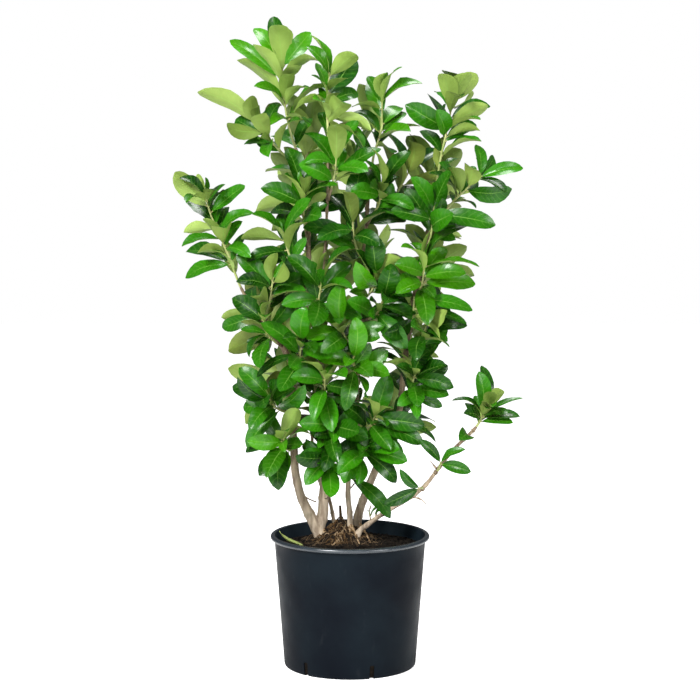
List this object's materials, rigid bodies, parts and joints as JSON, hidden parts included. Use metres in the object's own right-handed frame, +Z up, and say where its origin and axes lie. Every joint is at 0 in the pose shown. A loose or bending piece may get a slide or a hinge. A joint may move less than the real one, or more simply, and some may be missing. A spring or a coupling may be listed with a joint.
{
  "type": "potted cherry laurel shrub",
  "caption": "Young upright cherry laurel with glossy oblong leaves on brown woody stems, growing in a dark round plastic nursery pot filled with compost.",
  "frame": {"origin": "centre of the pot's flat underside, where it rests on the ground", "axes": "+Z up along the plant, +X to the right as seen from the front, +Y away from the viewer to the back"},
  "size_m": [0.6451, 0.391, 1.2172],
  "materials": {
    "pot_plastic": "satin",
    "compost": "matte",
    "bark": "matte",
    "leaf_green": "satin",
    "leaf_bright": "satin",
    "leaf_dark": "satin",
    "leaf_pale": "matte"
  },
  "bodies": {
    "root": {"pot": "pot_plastic", "compost": "compost", "fallen_leaf": "leaf_pale", "stem_left": "bark", "stem_thin": "bark", "stem_centre": "bark", "stem_right": "bark", "stem_low_branch": "bark", "shoot_top_left": "leaf_bright", "shoot_upper_left": "leaf_green", "shoot_top_mid": "leaf_bright", "shoot_top_centre": "leaf_bright", "shoot_inner_right": "leaf_dark", "shoot_top_right": "leaf_green", "shoot_right_high": "leaf_green", "shoot_right_upper": "leaf_green", "shoot_right_mid": "leaf_bright", "shoot_right_lower": "leaf_green", "shoot_right_inner": "leaf_green", "shoot_right_side": "leaf_green", "shoot_far_left": "leaf_green", "shoot_left_high": "leaf_green", "shoot_centre_left": "leaf_green", "shoot_left_inner": "leaf_green", "shoot_left_centre": "leaf_green", "shoot_left_fan": "leaf_green", "shoot_left_front": "leaf_green", "shoot_centre_front": "leaf_bright", "shoot_centre_high": "leaf_dark", "shoot_centre_bright": "leaf_bright", "shoot_centre_right": "leaf_green", "shoot_centre_low": "leaf_bright", "shoot_left_lower": "leaf_green", "shoot_left_lowest": "leaf_bright", "shoot_low_inner": "leaf_green", "shoot_low_front": "leaf_green", "shoot_low_mid": "leaf_green", "shoot_low_high": "leaf_green", "shoot_upper_mid": "leaf_green", "shoot_upper_right": "leaf_green", "shoot_right_low": "leaf_green", "shoot_low_right": "leaf_green", "shoot_branch_inner": "leaf_dark", "shoot_branch_mid": "leaf_green", "shoot_branch_head": "leaf_green", "shoot_back_top": "leaf_green", "shoot_back_high_left": "leaf_green", "shoot_back_mid_left": "leaf_green", "shoot_back_left": "leaf_dark", "shoot_back_low_left": "leaf_green", "shoot_back_centre_high": "leaf_bright", "shoot_back_centre": "leaf_green", "shoot_back_low_centre": "leaf_dark", "shoot_back_right_high": "leaf_green", "shoot_back_right": "leaf_green", "shoot_back_low_right": "leaf_green", "shoot_back_lowest": "leaf_green"}
  },
  "joints": []
}
